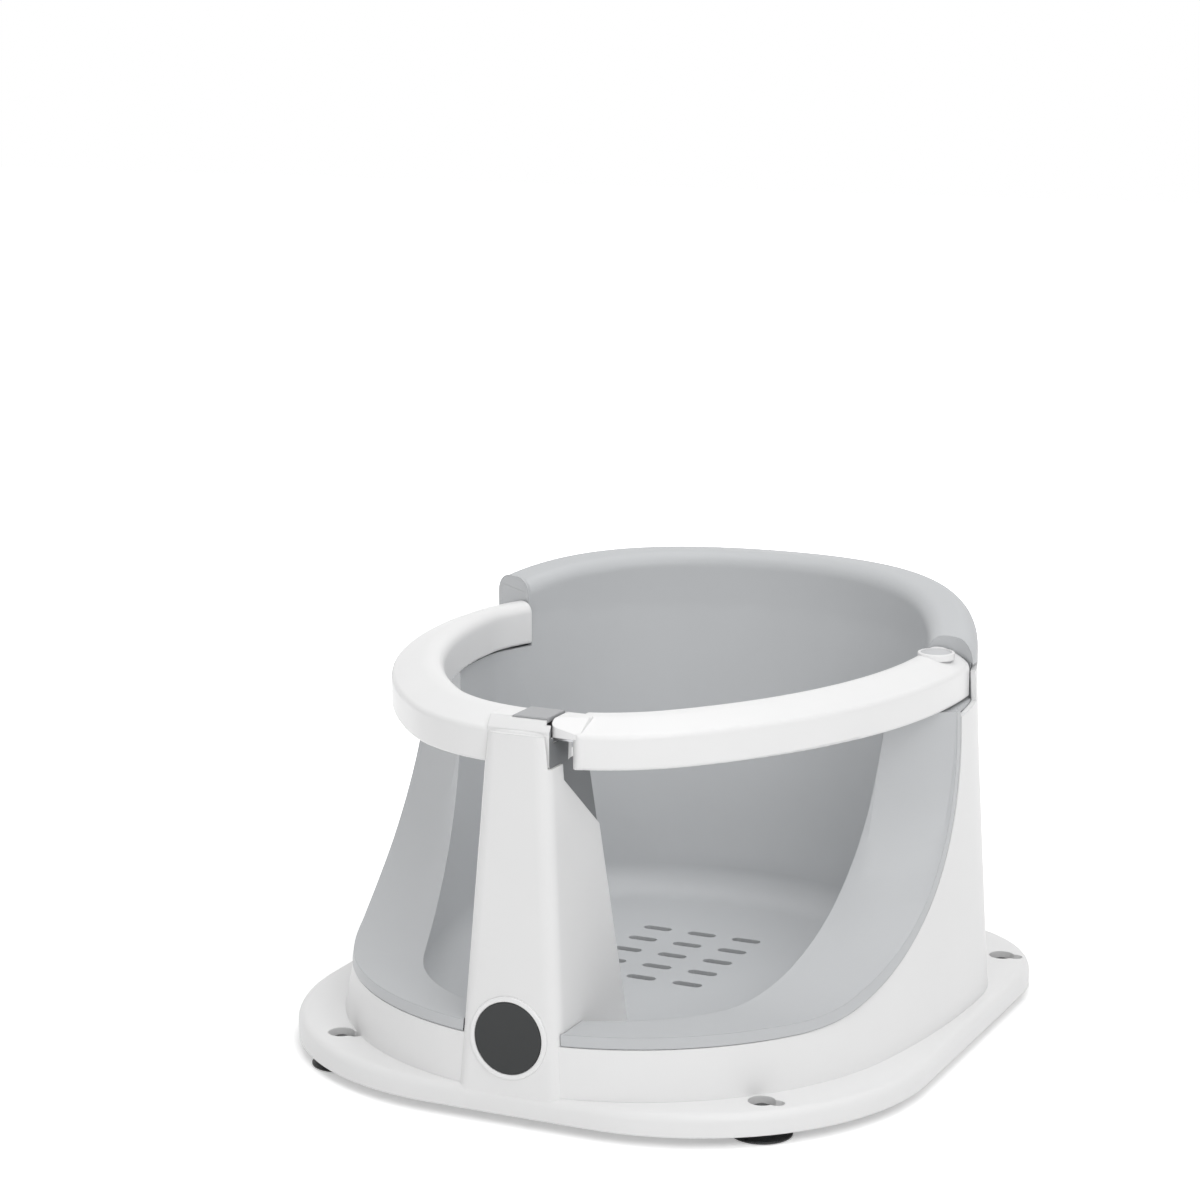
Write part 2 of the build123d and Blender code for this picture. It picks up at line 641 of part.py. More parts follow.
def arm_run(face, start_x):
    """The section run along the ring from a plane at start_x round to just behind the pivot."""
    (front, front_r, _, bend), (side, side_r, _, _) = right_arcs(RING)[:2]
    start = -90.0 + math.degrees(math.asin((start_x - 4) / front_r))
    end = math.degrees(math.asin((PIVOT_END_RADIUS + 2) / side_r))
    run = Part()
    for centre, radius, low, high in ((front, front_r, start, bend), (side, side_r, bend, end)):
        x, y = polar(centre, radius, low)
        out_x, out_y = polar((0, 0), 1, low)
        plane = Plane(origin=(x, y, ARM_BOTTOM), x_dir=(-out_x, -out_y, 0), z_dir=(-out_y, out_x, 0))
        run += revolve(plane * face, axis=Axis((*centre, 0), (0, 0, 1)), revolution_arc=high - low)
    return run & box((start_x, -FAR, 0), (FAR, FAR, FAR))


def behind_pivot(radius):
    """What a round end of this radius leaves over behind the pivot."""
    return box((0, PIVOT_Y, 0), (FAR, FAR, FAR)) - cylinder(radius, 0, FAR, PIVOT_X, PIVOT_Y)


def arm_screw_places():
    """Where the strip is screwed to the arm, as seen from above on the right half."""
    arcs = right_arcs(RING)[:2]
    places = []
    for angle in ARM_SCREW_ANGLES:
        centre, radius, _, _ = arcs[0] if angle < arcs[0][3] else arcs[1]
        places.append(polar(centre, radius - ARM_WIDTH / 2, angle))
    return places


def arm_upper(start_x, hollow_x, tube_low_z):
    """An arm from start_x to the pivot, hollow beneath, with a tube for the pin and screw bosses."""
    arm = arm_run(arm_face(0, 0), start_x) - behind_pivot(PIVOT_END_RADIUS)
    hollow = arm_run(arm_face(ARM_WALL, -1), hollow_x) - behind_pivot(PIVOT_END_RADIUS - ARM_WALL)
    hollow -= cylinder(TUBE_RADIUS, 0, FAR, PIVOT_X, PIVOT_Y)
    hollow -= cylinder(CAP_RADIUS + ARM_WALL, CAP_LOW_Z - ARM_WALL, FAR, PIVOT_X, PIVOT_Y)
    for x, y in arm_screw_places():
        hollow -= cylinder(SCREW_BOSS_RADIUS, ARM_BOTTOM + ARM_STRIP, FAR, x, y)
    arm -= hollow
    arm += cylinder(TUBE_RADIUS, tube_low_z, ARM_BOTTOM + ARM_STRIP, PIVOT_X, PIVOT_Y)
    for x, y in arm_screw_places():
        arm -= cylinder(SCREW_RADIUS, 0, ARM_BOTTOM + SCREW_SINK + SCREW_LENGTH + 1, x, y)
    return arm


def arm_lower(start_x):
    """The strip that closes an arm from beneath."""
    strip = arm_run(strip_face(), start_x) - behind_pivot(PIVOT_END_RADIUS - ARM_WALL - STRIP_GAP)
    strip -= cylinder(TUBE_RADIUS + STRIP_GAP, 0, FAR, PIVOT_X, PIVOT_Y)
    for x, y in arm_screw_places():
        strip -= cylinder(SCREW_RADIUS + STRIP_GAP, 0, FAR, x, y)
        strip -= cylinder(SCREW_HEAD_RADIUS + STRIP_GAP, 0, ARM_BOTTOM + SCREW_SINK, x, y)
    return strip


def gate_arm_upper():
    """The gate: it turns on the pin at its rear end, and its nose meets the button."""
    gate = arm_upper(GATE_END_X, GATE_END_X + END_BLOCK, DECK_Z + WASHER_HEIGHT + FIT)
    gate -= gate_corner()
    gate += nose()
    gate -= cylinder(PIN_RADIUS + BUSH_CLEARANCE + BUSH_WALL, 0, FAR, PIVOT_X, PIVOT_Y)
    gate -= cylinder(CAP_RADIUS, CAP_LOW_Z, FAR, PIVOT_X, PIVOT_Y)
    gate += lip_ring() - cylinder(CAP_RADIUS, CAP_LOW_Z, FAR, PIVOT_X, PIVOT_Y)
    return gate - catch_blade()


def gate_corner():
    """What the rounded outer corner at the gate's free end leaves over."""
    (_, cy), radius, _, _ = right_arcs(RING)[0]
    x = GATE_END_X + GATE_CORNER
    y = cy - math.sqrt((radius - GATE_CORNER) ** 2 - x ** 2)
    tangent_x = x * radius / (radius - GATE_CORNER)
    return box((0, -FAR, 0), (tangent_x, y, FAR)) - cylinder(GATE_CORNER, 0, FAR, x, y)


def nose():
    """The finger on top of the gate's free end that reaches over to the button."""
    front_y = RING.front_y + NOSE_INSET
    finger = box((NOSE_TIP_X, front_y, NOSE_Z), (GATE_END_X + GATE_CORNER, front_y + NOSE_DEPTH, ARM_TOP))
    finger = fillet(finger.edges().filter_by(Axis.Z), NOSE_ROUND)
    return fillet(finger.edges().group_by(Axis.Z)[-1], NOSE_EDGE)


def lip_ring():
    """The raised ring round the cap on top of the gate's rear end."""
    ring = cylinder(CAP_RADIUS + LIP_RING, ARM_TOP - ARM_WALL, ARM_TOP + LIP_RING_HEIGHT, PIVOT_X, PIVOT_Y)
    return fillet(ring.edges().group_by(Axis.Z)[-1], 0.6)


def catch_blade():
    """The catch: a steel blade held in the gate's end, reaching through the other arm's end wall."""
    y = RING.front_y + NOSE_INSET + NOSE_DEPTH / 2
    blade = box((CATCH_TIP_X, y - CATCH_WIDTH / 2, CATCH_Z),
                (CATCH_TAIL_X, y + CATCH_WIDTH / 2, CATCH_Z + CATCH_THICKNESS))
    return blade


def gate_catch():
    blade = catch_blade()
    tip = blade.edges().filter_by(Axis.Z).filter_by(lambda edge: edge.center().X < CATCH_TIP_X + 1)
    return fillet(tip, 2.0)


def arm_head():
    """The flat top round the button, level with the crest, with a bevel down to the post's skin."""
    crest_y = RING.front_y + ARM_CREST + 1
    low_z = ARM_BOTTOM + ARM_FACE - ARM_WALL / 2
    profile = side_prism([(RING.front_y + HEAD_STEP, low_z), (RING.front_y + HEAD_STEP, HEAD_FRONT_Z),
                          (BUTTON_FRONT_Y, ARM_TOP), (crest_y, ARM_TOP), (crest_y, ARM_TOP - ARM_WALL),
                          (BUTTON_FRONT_Y, low_z)], -HEAD_HALF, ARM_END_X)
    return profile


def left_arm_upper():
    """The fixed arm, whose closed end passes behind the post's front skin and holds the latch."""
    arm = arm_upper(-ARM_END_X, -ARM_END_X + ARM_WALL, DECK_Z)
    arm -= cylinder(BOLT_RADIUS, 0, ARM_TOP - ARM_WALL - 4, PIVOT_X, PIVOT_Y)
    arm = mirror(arm, about=Plane.YZ) + arm_head()
    arm -= box((BUTTON_LEFT_X - FIT, BUTTON_FRONT_Y - FIT, ARM_BOTTOM + ARM_STRIP + 1),
               (BUTTON_RIGHT_X + FIT, BUTTON_FRONT_Y + BUTTON_DEPTH + FIT, FAR))
    nose_low_y = RING.front_y + NOSE_INSET
    arm -= box((BUTTON_RIGHT_X, nose_low_y - 1.5, NOSE_Z - FIT),
               (ARM_END_X + 1, nose_low_y + NOSE_DEPTH + FIT, FAR))
    catch_y = nose_low_y + NOSE_DEPTH / 2
    arm -= box((0, catch_y - CATCH_WIDTH / 2 - CATCH_SWING, CATCH_Z - FIT),
               (ARM_END_X + 1, catch_y + CATCH_WIDTH / 2 + FIT, CATCH_Z + CATCH_THICKNESS + FIT))
    return arm


def left_arm_lower():
    return mirror(arm_lower(-ARM_END_X + ARM_WALL + STRIP_GAP), about=Plane.YZ)


def gate_arm_lower():
    return arm_lower(GATE_END_X + END_BLOCK + STRIP_GAP)


def arm_screws(side):
    """The screws of one strip: side is 1 for the gate and -1 for the fixed arm."""
    z = ARM_BOTTOM + SCREW_SINK
    return Compound(children=[Pos(side * x, y, z) * screw() for x, y in arm_screw_places()])


def left_arm_bolt():
    """The bolt from beneath that holds the fixed arm to the tub."""
    low_z = DECK_Z - PIN_DEPTH
    head = extrude(Pos(-PIVOT_X, PIVOT_Y, low_z - BOLT_HEAD_HEIGHT) * RegularPolygon(BOLT_HEAD_RADIUS, 6),
                   amount=BOLT_HEAD_HEIGHT)
    return head + cylinder(BOLT_RADIUS, low_z, low_z + BOLT_LENGTH, -PIVOT_X, PIVOT_Y)


def hinge_pin():
    low_z = DECK_Z - PIN_DEPTH - CLIP_HEIGHT - PIN_TAIL
    pin = cylinder(PIN_RADIUS, low_z, PIN_HEAD_Z, PIVOT_X, PIVOT_Y)
    head = cylinder(PIN_HEAD_RADIUS, PIN_HEAD_Z, PIN_HEAD_Z + PIN_HEAD_HEIGHT, PIVOT_X, PIVOT_Y)
    return pin + fillet(head.edges().group_by(Axis.Z)[-1], 0.6)


def hinge_bush():
    """The plain bearing in the gate's tube."""
    inner = PIN_RADIUS + BUSH_CLEARANCE
    low_z = DECK_Z + WASHER_HEIGHT + FIT
    return (cylinder(inner + BUSH_WALL, low_z, PIN_HEAD_Z - FIT, PIVOT_X, PIVOT_Y)
            - cylinder(inner, 0, FAR, PIVOT_X, PIVOT_Y))


def hinge_washer():
    return (cylinder(WASHER_RADIUS, DECK_Z, DECK_Z + WASHER_HEIGHT, PIVOT_X, PIVOT_Y)
            - cylinder(PIN_RADIUS, 0, FAR, PIVOT_X, PIVOT_Y))


def pin_clip():
    """The open ring snapped on the pin's lower end."""
    high_z = DECK_Z - PIN_DEPTH
    clip = (cylinder(CLIP_RADIUS, high_z - CLIP_HEIGHT, high_z, PIVOT_X, PIVOT_Y)
            - cylinder(PIN_RADIUS, 0, FAR, PIVOT_X, PIVOT_Y))
    return clip - box((PIVOT_X - 2, PIVOT_Y - CLIP_RADIUS - 1, 0), (PIVOT_X + 2, PIVOT_Y, FAR))


def hinge_cap():
    """The domed cap in the ring over the hinge."""
    rise = CAP_DOME
    sphere_radius = (CAP_RADIUS ** 2 + rise ** 2) / (2 * rise)
    top_z = ARM_TOP + LIP_RING_HEIGHT
    body = cylinder(CAP_RADIUS, CAP_LOW_Z, FAR, PIVOT_X, PIVOT_Y)
    body = body & (Pos(PIVOT_X, PIVOT_Y, top_z + rise - 0.6 - sphere_radius) * Sphere(sphere_radius))
    return body - cylinder(CAP_RADIUS - CAP_WALL, CAP_LOW_Z, CAP_LOW_Z + CAP_HOLLOW, PIVOT_X, PIVOT_Y)


def latch_button():
    """The plate in the fixed arm's end, with a stem that presses the spring and a tooth for the catch."""
    top_z = ARM_TOP + BUTTON_PROUD
    plate = box((BUTTON_LEFT_X, BUTTON_FRONT_Y, top_z - BUTTON_THICKNESS),
                (BUTTON_RIGHT_X, BUTTON_FRONT_Y + BUTTON_DEPTH, top_z))
    plate = fillet(plate.edges().group_by(Axis.Z)[-1], BUTTON_EDGE)
    stem = cylinder(BUTTON_STEM_RADIUS, STEM_STEP_Z, ARM_TOP - BUTTON_THICKNESS / 2, BUTTON_MID_X, BUTTON_MID_Y)
    tip = cylinder(STEM_TIP_RADIUS, STEM_TIP_Z, STEM_STEP_Z, BUTTON_MID_X, BUTTON_MID_Y)
    tooth = box((BUTTON_MID_X, BUTTON_MID_Y - 3, STEM_STEP_Z), (CATCH_TIP_X - FIT, BUTTON_MID_Y + 3, STEM_STEP_Z + 3))
    lug_y = RING.front_y + ARM_CREST + 1
    lug_z = ARM_TOP - ARM_WALL - FIT
    lug = box((BUTTON_LEFT_X - LUG, lug_y, lug_z - LUG), (BUTTON_LEFT_X + LUG, lug_y + LUG, lug_z))
    neck = box((BUTTON_LEFT_X, lug_y, lug_z - LUG), (BUTTON_LEFT_X + LUG, lug_y + LUG, lug_z + 1))
    return plate + stem + tip + tooth + lug + neck


def latch_guide():
    """The cup on the strip that centres the spring."""
    outer = SPRING_MEAN_RADIUS + SPRING_WIRE / 2 + FIT + GUIDE_WALL
    low_z = ARM_BOTTOM + ARM_STRIP
    cup = cylinder(outer, low_z, low_z + GUIDE_HEIGHT, BUTTON_MID_X, BUTTON_MID_Y)
    return cup - cylinder(outer - GUIDE_WALL, low_z + GUIDE_FLOOR, FAR, BUTTON_MID_X, BUTTON_MID_Y)


def latch_spring():
    """The coil spring under the button, with a flat end coil at each end."""
    low_z = ARM_BOTTOM + ARM_STRIP + GUIDE_FLOOR + SPRING_WIRE / 2
    rise = STEM_STEP_Z - SPRING_WIRE / 2 - low_z
    path = Helix(rise / SPRING_TURNS, rise, SPRING_MEAN_RADIUS)
    section = Plane(origin=path @ 0, z_dir=path % 0) * Circle(SPRING_WIRE / 2)
    return Pos(BUTTON_MID_X, BUTTON_MID_Y, low_z) * sweep(section, path)


def post_back_cover():
    """The plate that closes the post towards the seat."""
    plate = post_solid(WALL + COVER_GAP, 0, COVER_LOW_Z, ARM_BOTTOM - WALL - COVER_GAP)
    plate -= post_solid(0, WALL, FLANGE_TOP, ARM_BOTTOM)
    for z in POST_SCREW_Z:
        plate -= post_screw_place(z) * Cylinder(SCREW_RADIUS + STRIP_GAP, 4 * WALL)
    return plate


def post_screws():
    return Compound(children=[post_screw_place(z) * screw() for z in POST_SCREW_Z])


def liner_screws():
    places = [(side * LINER_SCREW_X, y) for side in (-1, 1) for y in LINER_SCREW_Y]
    return Compound(children=[Pos(x, y, FLOOR_Z) * screw() for x, y in places])


def suction_cup(place):
    """A cup with a thin lip, a neck through the keyhole and a knob above it."""
    x, y = CUP_PLACES[place]
    web_low = CUP_WEB_Z
    web_high = CUP_WEB_Z + CUP_WEB
    outline = Polyline((0, 3.4), (3.2, 2.6), (8.6, 1.4), (CUP_RADIUS - CUP_RIM, 0),
                       (CUP_RADIUS, 0), (CUP_RADIUS, CUP_LIP), (9.2, 3.4), (6.4, 4.6), (CUP_NECK_RADIUS + 1.6, web_low),
                       (CUP_NECK_RADIUS, web_low), (CUP_NECK_RADIUS, web_high),
                       (CUP_HEAD_RADIUS, web_high), (CUP_HEAD_RADIUS, web_high + 2.2),
                       (CUP_HEAD_RADIUS - 1.6, web_high + 3.9), (0, web_high + 4.4), close=True)
    cup = revolve(Plane.XZ * make_face(outline), axis=Axis.Z)
    return Pos(x, y, 0) * cup


PARTS = {
    "base_shell": base_shell,
    "seat_liner": seat_liner,
    "front_disc": front_disc,
    "front_disc_bezel": front_disc_bezel,
    "post_back_cover": post_back_cover,
    "left_arm_upper": left_arm_upper,
    "left_arm_lower": left_arm_lower,
    "gate_arm_upper": gate_arm_upper,
    "gate_arm_lower": gate_arm_lower,
    "gate_catch": gate_catch,
    "hinge_pin": hinge_pin,
    "hinge_cap": hinge_cap,
    "hinge_bush": hinge_bush,
    "hinge_washer": hinge_washer,
    "pin_clip": pin_clip,
    "latch_button": latch_button,
    "latch_spring": latch_spring,
    "latch_guide": latch_guide,
    "left_arm_bolt": left_arm_bolt,
    "left_arm_screws": lambda: arm_screws(-1),
    "gate_screws": lambda: arm_screws(1),
    "post_screws": post_screws,
    "liner_screws": liner_screws,
    "suction_cup_front_left": lambda: suction_cup("front_left"),
    "suction_cup_front_right": lambda: suction_cup("front_right"),
    "suction_cup_rear_left": lambda: suction_cup("rear_left"),
    "suction_cup_rear_right": lambda: suction_cup("rear_right"),
}


def main():
    os.makedirs("parts", exist_ok=True)
    for name, make in PARTS.items():
        export_step(make(), f"parts/{name}.step")


if __name__ == "__main__":
    main()
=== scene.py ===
"""A baby bath seat: white tub and ring, light grey liner, suction cups and a gate with a latch."""

import math

import bmesh
import bpy
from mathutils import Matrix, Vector


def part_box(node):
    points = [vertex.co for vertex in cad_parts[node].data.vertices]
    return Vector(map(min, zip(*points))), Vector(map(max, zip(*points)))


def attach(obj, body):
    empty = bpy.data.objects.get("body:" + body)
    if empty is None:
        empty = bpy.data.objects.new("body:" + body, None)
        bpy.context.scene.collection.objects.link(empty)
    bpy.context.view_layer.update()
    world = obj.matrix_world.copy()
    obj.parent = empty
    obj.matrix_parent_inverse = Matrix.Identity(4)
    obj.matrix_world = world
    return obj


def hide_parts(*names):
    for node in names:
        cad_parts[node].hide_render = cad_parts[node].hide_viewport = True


bl_info = {
    "name": "Baby bath seat",
    "version": (1, 0, 0),
    "blender": (4, 5, 0),
    "location": "View3D > Sidebar > Bath Seat",
    "description": "Dresses the bath seat's frame and models its ring, rim, cups and latch",
    "category": "Object",
}

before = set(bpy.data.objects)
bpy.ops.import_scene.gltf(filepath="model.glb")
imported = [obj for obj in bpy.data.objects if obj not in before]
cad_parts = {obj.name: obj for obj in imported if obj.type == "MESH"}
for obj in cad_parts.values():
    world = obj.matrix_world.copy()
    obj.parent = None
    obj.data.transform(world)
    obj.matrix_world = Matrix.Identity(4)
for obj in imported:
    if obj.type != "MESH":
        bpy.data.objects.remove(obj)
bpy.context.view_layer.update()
MM = 0.001

# Points closer than this are one point, and a face from this cosine up counts as facing a way
DOUBLES = 0.001 * MM
FACING = 0.9

# Moulded plastic: how far apart its slow changes lie, and what they do to its colour and its gloss
DRIFT = 60 * MM
DARKER = 0.965
LIGHTER = 1.02
GLOSSIER = 0.04
DULLER = 0.05
PEEL_STRENGTH = 0.35
PLASTIC_IOR = 1.49

# Steel: the size of the specks in its sheen, drawn coarser than real ones so that they show
SPECK = 0.6 * MM
SPECK_BRIGHTER = 0.08
SPECK_DULLER = 0.1

# Where the recess on the post's right side lies, and the end of the fixed arm beside it: both get a
# painted shade of dark grey
POCKET_LOW_X = 13.0 * MM
POCKET_HIGH_X = 18.4 * MM
POCKET_FRONT_Y = -154.0 * MM
POCKET_LOW_Z = 131.0 * MM
POST_REAR_Y = -100.0 * MM
ARM_END_X = 16.0 * MM
ARM_END_FACING = 0.95

# The left of the ring seen from above: arcs as (centre, radius), and angles back from straight left
RING_FOOT_Z = 172.6 * MM
SIDE = ((118.5 * MM, 47.8 * MM), 266.0 * MM)
CORNER = ((-75.5 * MM, 47.59 * MM), 72.0 * MM)
REAR = ((0.0, 28.0 * MM), 150.0 * MM)
ARM_JOINT = math.radians(-4.0)
CORNER_START = math.radians(-0.062)
REAR_START = math.radians(14.546)
CORNER_TURN = REAR_START - CORNER_START
REAR_TURN = math.radians(9.05)
REAR_GAP = math.radians(0.4)
WALL_TURN = math.radians(0.8)

# The gate's shoulder: the ring's front arc, and three points in millimetres on the sloping plane
FRONT = ((0.0, -66.308 * MM), 101.492 * MM)
SHOULDER_START = math.radians(-117.0)
SHOULDER_TURN = math.radians(19.8)
SHOULDER = ((22.0, -163.3, 190.6), (42.0, -146.5, 195.6), (15.0, -157.5, 195.6))

# How fine the shapes are: degrees of the ring to one step, steps round a section's corner, sides of a cup
ARC_STEP = 0.8
CORNER_STEPS = 10
CUP_SIDES = 96

# A face lies on the arm's joint when its middle is nearer to it than this
ON_JOINT = 0.01 * MM

# Faces that meet at less than these angles are shaded as one
SMOOTH = math.radians(30)
CUP_SMOOTH = math.radians(40)


def linear(hex_colour):
    """The linear value of an sRGB hex colour such as F2F2F0."""
    channels = [int(hex_colour[i:i + 2], 16) / 255 for i in (0, 2, 4)]
    return tuple(c / 12.92 if c <= 0.04045 else ((c + 0.055) / 1.055) ** 2.4 for c in channels)


def colour_property(name, description, hex_colour):
    """A colour that the user can change."""
    return bpy.props.FloatVectorProperty(
        name=name, description=description, subtype="COLOR", size=3, min=0, max=1,
        default=linear(hex_colour))


def length_property(name, description, millimetres):
    """A length that the user can change, written in millimetres and kept in metres."""
    return bpy.props.FloatProperty(
        name=name, description=description, subtype="DISTANCE", unit="LENGTH",
        default=millimetres * MM, min=0)


class BATHSEAT_PG_colours(bpy.types.PropertyGroup):
    """Colours of the mouldings and metal parts, and the grey of the painted shade in the post's recess."""

    shell: colour_property("Shell", "White polypropylene of the tub, flange and post", "EFEFEF")
    arm: colour_property("Ring", "White polypropylene of the ring", "F3F3F3")
    liner: colour_property("Liner", "Light grey of the seat liner and rim", "C6C8CA")
    # The pocket colour is painted shade: the shadow in the post's recess and at the fixed arm's end, laid
    # on as a flat dark grey
    painted_shade: colour_property("Painted shade", "Painted shade: grey on the post's recess and the arm's end", "7E8082")
    button: colour_property("Button", "Grey of the latch button", "A9AAAC")
    cap: colour_property("Cap", "Grey of the hinge cap", "C9CACC")
    disc: colour_property("Disc", "Dark face of the round disc", "1B1E1F")
    cup: colour_property("Cups", "Smoky vinyl of the suction cups", "3C3E40")
    nylon: colour_property("Nylon", "Natural nylon of the bearing parts", "E2E0D8")
    steel: colour_property("Steel", "Stainless steel of the screws, pin and spring", "B9BABC")
    floor: colour_property("Floor", "Floor and backdrop", "FFFFFF")


class BATHSEAT_PG_cups(bpy.types.PropertyGroup):
    """Sizes of the suction cups."""

    radius: length_property("Radius", "Radius of a cup at its lip", 15.0)
    lip: length_property("Lip", "Thickness of the lip", 0.8)
    neck: length_property("Neck", "Radius of the neck through the keyhole", 3.0)
    knob: length_property("Knob", "Radius of the knob above the keyhole", 5.6)


class BATHSEAT_PG_finish(bpy.types.PropertyGroup):
    """How fine and how soft the surfaces are."""

    # A real mould leaves a finer grain than this, too fine to show, so it is drawn coarser
    grain: length_property("Grain", "Size of the moulded grain on the plastic", 0.8)
    edge: length_property("Edge", "Radius that moulding leaves on an edge", 0.7)


def seat(context):
    """The seat's settings: its colours, its cups' sizes and its finish."""
    scene = context.scene
    return scene.bath_seat_colours, scene.bath_seat_cups, scene.bath_seat_finish


def node(tree, kind, links=(), **settings):
    """Adds one shader node; settings go to its properties or sockets, links to its sockets."""
    made = tree.nodes.new(kind)
    for key, value in settings.items():
        if hasattr(made, key):
            setattr(made, key, value)
        else:
            made.inputs[key.replace("_", " ")].default_value = value
    for socket, source in links:
        tree.links.new(source, made.inputs[socket])
    return made


def new_material(name):
    """A new material, with its node tree and its shader."""
    material = bpy.data.materials.new(name)
    material.use_nodes = True
    return material, material.node_tree, material.node_tree.nodes["Principled BSDF"]


def plastic(name, colour, finish, roughness, peel_depth, clear=0.0):
    """Moulded plastic: soft edges, a faint orange peel in the gloss and a slow drift in colour."""
    if name in bpy.data.materials:
        return bpy.data.materials[name]
    material, tree, shader = new_material(name)
    place = node(tree, "ShaderNodeTexCoord").outputs["Object"]
    drift = node(tree, "ShaderNodeTexNoise", [("Vector", place)], Scale=1 / DRIFT, Detail=3.0)
    tint = node(tree, "ShaderNodeMix", [("Factor", drift.outputs["Fac"])], data_type="RGBA",
                A=(*[c * DARKER for c in colour], 1), B=(*[min(1, c * LIGHTER) for c in colour], 1))
    tree.links.new(tint.outputs["Result"], shader.inputs["Base Color"])
    gloss = node(tree, "ShaderNodeMapRange", [("Value", drift.outputs["Fac"])],
                 To_Min=roughness - GLOSSIER, To_Max=roughness + DULLER)
    tree.links.new(gloss.outputs["Result"], shader.inputs["Roughness"])
    peel = node(tree, "ShaderNodeTexNoise", [("Vector", place)], Scale=1 / finish.grain, Detail=2.0)
    edge = node(tree, "ShaderNodeBevel", Radius=finish.edge)
    bump = node(tree, "ShaderNodeBump",
                [("Height", peel.outputs["Fac"]), ("Normal", edge.outputs["Normal"])],
                Strength=PEEL_STRENGTH, Distance=peel_depth)
    tree.links.new(bump.outputs["Normal"], shader.inputs["Normal"])
    shader.inputs["IOR"].default_value = PLASTIC_IOR
    shader.inputs["Transmission Weight"].default_value = clear
    return material


def metal(name, colour, roughness):
    """Rolled stainless steel: small bright and dull specks in the sheen."""
    if name in bpy.data.materials:
        return bpy.data.materials[name]
    material, tree, shader = new_material(name)
    place = node(tree, "ShaderNodeTexCoord").outputs["Object"]
    speck = node(tree, "ShaderNodeTexNoise", [("Vector", place)], Scale=1 / SPECK, Detail=4.0)
    gloss = node(tree, "ShaderNodeMapRange", [("Value", speck.outputs["Fac"])],
                 To_Min=roughness - SPECK_BRIGHTER, To_Max=roughness + SPECK_DULLER)
    tree.links.new(gloss.outputs["Result"], shader.inputs["Roughness"])
    shader.inputs["Base Color"].default_value = (*colour, 1)
    shader.inputs["Metallic"].default_value = 1.0
    return material


def white_shell(context):
    """The tub comes out of a satin mould, so its highlights are broad and weak."""
    colours, _, finish = seat(context)
    return plastic("Moulded polypropylene, white", colours.shell, finish,
                   roughness=0.42, peel_depth=0.02 * MM)


def ring_plastic(context):
    """The ring is polished in the mould, so it shines a little more than the tub."""
    colours, _, finish = seat(context)
    return plastic("Moulded polypropylene, glossy white", colours.arm, finish,
                   roughness=0.34, peel_depth=0.015 * MM)


def liner_plastic(context):
    """The liner has a satin face that spreads the light."""
    colours, _, finish = seat(context)
    return plastic("Moulded polypropylene, light grey", colours.liner, finish,
                   roughness=0.45, peel_depth=0.03 * MM)


def painted_shade_plastic(context):
    """Painted shade: a flat dark grey laid on the post's recess and the fixed arm's end, where shadow
    falls; its face is matt, so it stays an even grey beside the shining ring.
    """
    colours, _, finish = seat(context)
    return plastic("Moulded ABS, grey recess", colours.painted_shade, finish,
                   roughness=0.55, peel_depth=0.03 * MM)


def cup_vinyl(context):
    """The cups are smooth and half clear: light comes through the lip, and the thick neck is darker."""
    colours, _, finish = seat(context)
    return plastic("Soft vinyl, smoky, moulded", colours.cup, finish,
                   roughness=0.18, peel_depth=0.005 * MM, clear=0.55)


def dress(names, material):
    """Gives CAD nodes a material in place of the one they came with."""
    for name in names:
        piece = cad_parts[name]
        piece.data.materials.clear()
        piece.data.materials.append(material)


def colour_faces(piece, material, test):
    """Gives a second material to the faces that pass a test on their centre and normal."""
    piece.data.materials.append(material)
    for face in piece.data.polygons:
        if test(face.center, face.normal):
            face.material_index = 1


def in_shaded_pocket(place, normal):
    """The recess on the post's right side, where the grey of painted shade goes."""
    across = POCKET_LOW_X < place.x < POCKET_HIGH_X
    along = POCKET_FRONT_Y < place.y < POST_REAR_Y
    return across and along and place.z > POCKET_LOW_Z and normal.x > FACING


def at_shaded_arm_end(place, normal):
    """The fixed arm's end face beside the gate, where the grey of painted shade goes."""
    return normal.x > ARM_END_FACING and place.x > ARM_END_X


class BATHSEAT_OT_carried(bpy.types.Operator):
    """Finishes the CAD nodes that are shown as they are"""

    bl_idname = "bathseat.carried"
    bl_label = "Carried-over pieces"

    def execute(self, context):
        colours, _, finish = seat(context)
        # The cap and the button have a fine satin face: a soft sheen with nothing mirrored in it
        cap = plastic("Moulded ABS, grey cap", colours.cap, finish, roughness=0.4, peel_depth=0.02 * MM)
        button = plastic("Moulded ABS, grey button", colours.button, finish,
                         roughness=0.45, peel_depth=0.03 * MM)
        # The disc is the smoothest of the hard pieces, so the lamps show in it as clear spots
        disc = plastic("Moulded ABS, dark", colours.disc, finish, roughness=0.3, peel_depth=0.02 * MM)
        # Nylon without a dye is a little creamy beside the white pieces, and dull
        nylon = plastic("Moulded nylon, natural", colours.nylon, finish,
                        roughness=0.45, peel_depth=0.02 * MM)
        # Steel is the only metal in the seat: grey, with a blurred picture of the room in it
        steel = metal("Stainless steel, rolled", colours.steel, roughness=0.3)
        dress(["post_back_cover"], white_shell(context))
        dress(["left_arm_lower", "gate_arm_lower", "front_disc_bezel"], ring_plastic(context))
        dress(["hinge_cap"], cap)
        dress(["latch_button"], button)
        dress(["front_disc"], disc)
        dress(["hinge_bush", "hinge_washer", "latch_guide"], nylon)
        dress(["hinge_pin", "pin_clip", "latch_spring", "left_arm_bolt", "left_arm_screws", "gate_screws",
               "post_screws", "liner_screws", "gate_catch"], steel)
        return {"FINISHED"}


def only(piece):
    """Selects this piece alone and makes it the active one."""
    bpy.ops.object.select_all(action="DESELECT")
    piece.select_set(True)
    bpy.context.view_layer.objects.active = piece


